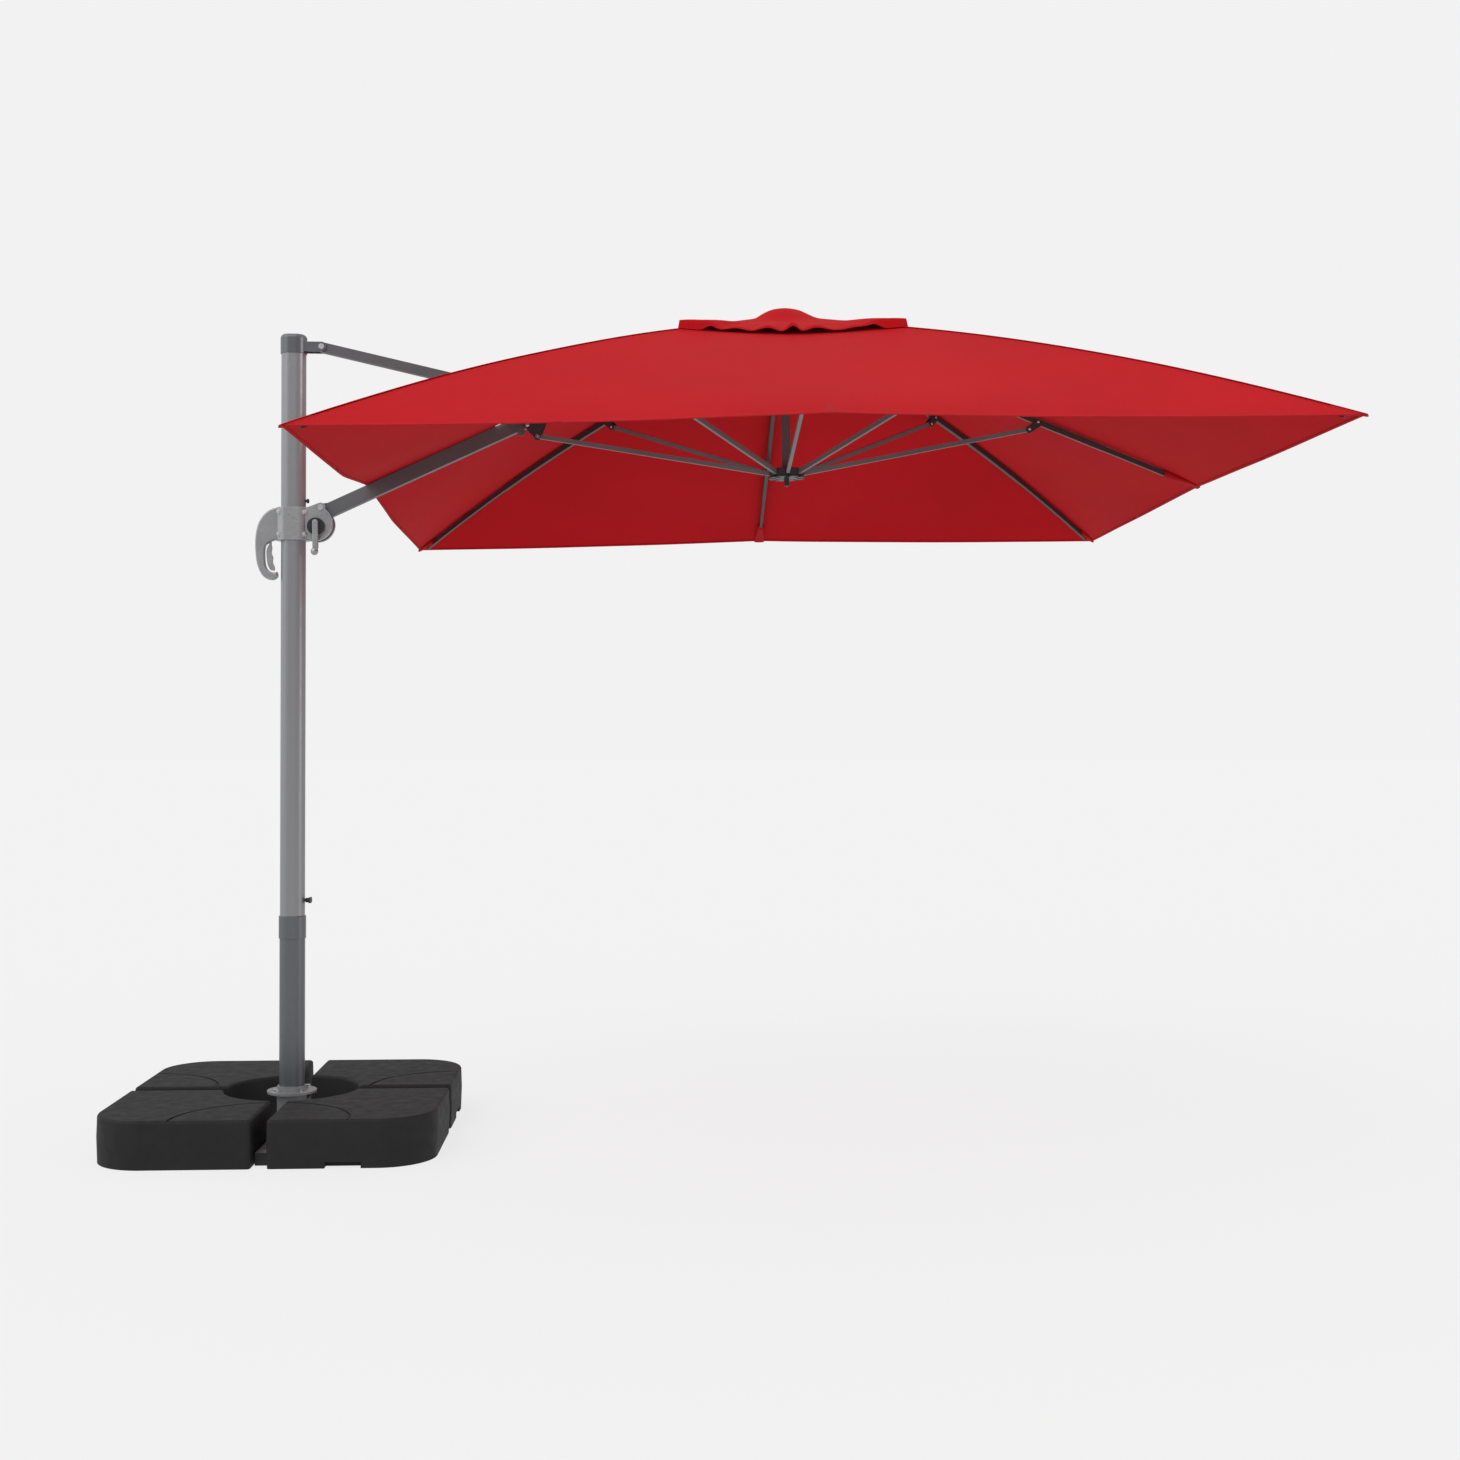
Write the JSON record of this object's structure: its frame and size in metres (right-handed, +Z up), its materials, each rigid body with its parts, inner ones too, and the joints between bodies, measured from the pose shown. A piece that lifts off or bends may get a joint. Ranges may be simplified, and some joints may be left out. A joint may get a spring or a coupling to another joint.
{
  "type": "cantilever patio umbrella",
  "caption": "Side-pole patio umbrella: square red canopy with vent cap on a folding arm, swivelling mast, cross base with ballast slabs.",
  "frame": {"origin": "on the mast's axis, at the underside of the cross base, on the ground", "axes": "+Z up along the mast, +X from the mast towards the canopy's centre, +Y to the far side"},
  "size_m": [3.8137, 3, 2.93],
  "materials": {
    "ballast_plastic": "fine leathered texture, matte",
    "black_plastic": "matte",
    "base_steel": "powder coated grey",
    "bright_steel": "zinc plated, satin",
    "mast_metal": "satin anthracite powder coat",
    "arm_metal": "satin anthracite powder coat",
    "rib_steel": "semi-gloss black",
    "slider_metal": "satin silver-grey casting",
    "joint_black": "glass-filled nylon, matte",
    "red_fabric": "plain-woven polyester, matte"
  },
  "bodies": {
    "base": {"slab_near_left": "ballast_plastic", "slab_near_right": "ballast_plastic", "slab_far_left": "ballast_plastic", "slab_far_right": "ballast_plastic", "cross_base": "base_steel", "leg_caps": "black_plastic", "base_flange": "base_steel", "flange_bolts": "bright_steel", "lower_mast": "mast_metal", "swivel_spindle": "joint_black"},
    "mast": {"collar": "mast_metal", "upper_mast": "mast_metal", "mast_cap": "joint_black", "strut_head_pin": "bright_steel"},
    "wing_screw": {"wing_screw": "black_plastic"},
    "stop_pin": {"stop_pin": "slider_metal"},
    "upper_strut": {"upper_strut_tube": "arm_metal", "strut_fork": "joint_black"},
    "arm": {"arm_tube": "arm_metal", "arm_rib": "arm_metal", "arm_bracket": "joint_black", "fork_pin": "bright_steel"},
    "slider": {"slider_sleeve": "slider_metal", "sleeve_bolts": "bright_steel", "arm_foot_pin": "bright_steel", "handle": "slider_metal"},
    "grip_lever": {"grip_lever": "black_plastic"},
    "crank": {"crank_drum": "slider_metal", "crank_disc": "joint_black", "crank_lever": "slider_metal"},
    "crank_knob": {"crank_knob": "slider_metal"},
    "hub": {"top_hub": "joint_black", "hub_ring": "bright_steel", "canopy": "red_fabric", "vent_cap": "red_fabric"},
    "runner": {"runner": "joint_black", "runner_plate": "bright_steel", "centre_tube": "arm_metal"},
    "rib_e": {"rib_e": "rib_steel", "bracket_e": "joint_black"},
    "strut_e": {"strut_e": "arm_metal"},
    "rib_ne": {"rib_ne": "rib_steel", "bracket_ne": "joint_black"},
    "strut_ne": {"strut_ne": "arm_metal"},
    "rib_n": {"rib_n": "rib_steel", "bracket_n": "joint_black"},
    "strut_n": {"strut_n": "arm_metal"},
    "rib_nw": {"rib_nw": "rib_steel", "bracket_nw": "joint_black"},
    "strut_nw": {"strut_nw": "arm_metal"},
    "rib_sw": {"rib_sw": "rib_steel", "bracket_sw": "joint_black"},
    "strut_sw": {"strut_sw": "arm_metal"},
    "rib_s": {"rib_s": "rib_steel", "bracket_s": "joint_black"},
    "strut_s": {"strut_s": "arm_metal"},
    "rib_se": {"rib_se": "rib_steel", "bracket_se": "joint_black"},
    "strut_se": {"strut_se": "arm_metal"},
    "strut_w": {"strut_w": "arm_metal"}
  },
  "joints": [
    {"name": "mast_swivel", "type": "hinge", "parent": "base", "child": "mast", "pos_m": [0, 0, 0.73], "axis": [0, 0, 1], "continuous": true},
    {"name": "wing_screw_turn", "type": "hinge", "parent": "mast", "child": "wing_screw", "pos_m": [0.06, 0, 0.819], "axis": [1, 0, 0], "continuous": true},
    {"name": "stop_pin_push", "type": "slide", "parent": "mast", "child": "stop_pin", "axis": [-1, 0, 0], "range_m": [0, 0.004], "stiffness_N_per_m": 400, "springref_m": -0.004},
    {"name": "strut_fold", "type": "hinge", "parent": "mast", "child": "upper_strut", "pos_m": [0.1, 0, 2.78], "axis": [0, 1, 0], "range_deg": [0, 52]},
    {"name": "arm_fold", "type": "hinge", "parent": "upper_strut", "child": "arm", "pos_m": [0.8, 0, 2.494], "axis": [0, -1, 0], "range_deg": [0, 104]},
    {"name": "slider_travel", "type": "hinge", "parent": "arm", "child": "slider", "pos_m": [0.1, 0, 2.208], "axis": [0, 1, 0], "range_deg": [0, 52]},
    {"name": "grip_squeeze", "type": "hinge", "parent": "slider", "child": "grip_lever", "pos_m": [-0.08, 0, 2.094], "axis": [0, 1, 0], "range_deg": [0, 3.5], "stiffness_Nm_per_rad": 2, "springref_deg": -5.73},
    {"name": "canopy_close", "type": "hinge", "parent": "arm", "child": "hub", "pos_m": [1.68401, 0, 2.86683], "axis": [0, 1, 0], "range_deg": [0, 60], "deforming": ["canopy", "vent_cap"]},
    {"name": "crank_turn", "type": "hinge", "parent": "slider", "child": "crank", "pos_m": [0.085, 0, 2.14], "axis": [0, 1, 0], "range_deg": [0, 4079.1]},
    {"name": "knob_spin", "type": "hinge", "parent": "crank", "child": "crank_knob", "pos_m": [0.086, -0.066, 2.048], "axis": [0, 1, 0], "continuous": true},
    {"name": "rib_e_fold", "type": "hinge", "parent": "hub", "child": "rib_e", "pos_m": [1.80399, 0, 2.86917], "axis": [0, 1, 0], "range_deg": [0, 60]},
    {"name": "strut_e_fold", "type": "hinge", "parent": "rib_e", "child": "strut_e", "pos_m": [2.63588, 0, 2.51273], "axis": [0, -1, 0], "range_deg": [0, 133.53]},
    {"name": "rib_ne_fold", "type": "hinge", "parent": "hub", "child": "rib_ne", "pos_m": [1.78642, 0.04243, 2.86883], "axis": [-0.707, 0.7071, -0.0138], "range_deg": [0, 70.71]},
    {"name": "strut_ne_fold", "type": "hinge", "parent": "rib_ne", "child": "strut_ne", "pos_m": [2.37631, 0.62786, 2.64615], "axis": [0.707, -0.7071, 0.0138], "range_deg": [0, 138.04]},
    {"name": "rib_n_fold", "type": "hinge", "parent": "hub", "child": "rib_n", "pos_m": [1.744, 0.06, 2.868], "axis": [-0.9998, 0, -0.0195], "range_deg": [0, 60]},
    {"name": "strut_n_fold", "type": "hinge", "parent": "rib_n", "child": "strut_n", "pos_m": [1.75128, 0.88477, 2.49544], "axis": [0.9998, 0, 0.0195], "range_deg": [0, 133.53]},
    {"name": "rib_nw_fold", "type": "hinge", "parent": "hub", "child": "rib_nw", "pos_m": [1.70158, 0.04243, 2.86717], "axis": [-0.707, -0.7071, -0.0138], "range_deg": [0, 70.71]},
    {"name": "strut_nw_fold", "type": "hinge", "parent": "rib_nw", "child": "strut_nw", "pos_m": [1.12084, 0.62786, 2.62161], "axis": [0.707, 0.7071, 0.0138], "range_deg": [0, 138.04]},
    {"name": "rib_sw_fold", "type": "hinge", "parent": "hub", "child": "rib_sw", "pos_m": [1.70158, -0.04243, 2.86717], "axis": [0.707, -0.7071, 0.0138], "range_deg": [0, 70.71]},
    {"name": "strut_sw_fold", "type": "hinge", "parent": "rib_sw", "child": "strut_sw", "pos_m": [1.12084, -0.62786, 2.62161], "axis": [-0.707, 0.7071, -0.0138], "range_deg": [0, 138.04]},
    {"name": "rib_s_fold", "type": "hinge", "parent": "hub", "child": "rib_s", "pos_m": [1.744, -0.06, 2.868], "axis": [0.9998, 0, 0.0195], "range_deg": [0, 60]},
    {"name": "strut_s_fold", "type": "hinge", "parent": "rib_s", "child": "strut_s", "pos_m": [1.75128, -0.88477, 2.49544], "axis": [-0.9998, 0, -0.0195], "range_deg": [0, 133.53]},
    {"name": "rib_se_fold", "type": "hinge", "parent": "hub", "child": "rib_se", "pos_m": [1.78642, -0.04243, 2.86883], "axis": [0.707, 0.7071, 0.0138], "range_deg": [0, 70.71]},
    {"name": "strut_se_fold", "type": "hinge", "parent": "rib_se", "child": "strut_se", "pos_m": [2.37631, -0.62786, 2.64615], "axis": [-0.707, -0.7071, -0.0138], "range_deg": [0, 138.04]},
    {"name": "strut_w_fold", "type": "hinge", "parent": "arm", "child": "strut_w", "pos_m": [0.862, 0, 2.472], "axis": [0, 1, 0], "range_deg": [0, 134.21]},
    {"name": "runner_slide", "type": "slide", "parent": "hub", "child": "runner", "axis": [0.0195, 0, -0.9998], "range_m": [0, 1.21]}
  ],
  "couplings": [
    {"joint": "arm_fold", "follows": "strut_fold", "ratio": 2},
    {"joint": "slider_travel", "follows": "strut_fold", "ratio": 1},
    {"joint": "crank_turn", "follows": "canopy_close", "ratio": 67.969},
    {"joint": "rib_e_fold", "follows": "canopy_close", "ratio": 1},
    {"joint": "strut_e_fold", "follows": "canopy_close", "ratio": 2.2254},
    {"joint": "rib_ne_fold", "follows": "canopy_close", "ratio": 1.1785},
    {"joint": "strut_ne_fold", "follows": "canopy_close", "ratio": 2.3007},
    {"joint": "rib_n_fold", "follows": "canopy_close", "ratio": 1},
    {"joint": "strut_n_fold", "follows": "canopy_close", "ratio": 2.2254},
    {"joint": "rib_nw_fold", "follows": "canopy_close", "ratio": 1.1785},
    {"joint": "strut_nw_fold", "follows": "canopy_close", "ratio": 2.3007},
    {"joint": "rib_sw_fold", "follows": "canopy_close", "ratio": 1.1785},
    {"joint": "strut_sw_fold", "follows": "canopy_close", "ratio": 2.3007},
    {"joint": "rib_s_fold", "follows": "canopy_close", "ratio": 1},
    {"joint": "strut_s_fold", "follows": "canopy_close", "ratio": 2.2254},
    {"joint": "rib_se_fold", "follows": "canopy_close", "ratio": 1.1785},
    {"joint": "strut_se_fold", "follows": "canopy_close", "ratio": 2.3007},
    {"joint": "strut_w_fold", "follows": "canopy_close", "ratio": 2.2369},
    {"joint": "runner_slide", "follows": "canopy_close", "m_per_rad": 1.1555}
  ]
}
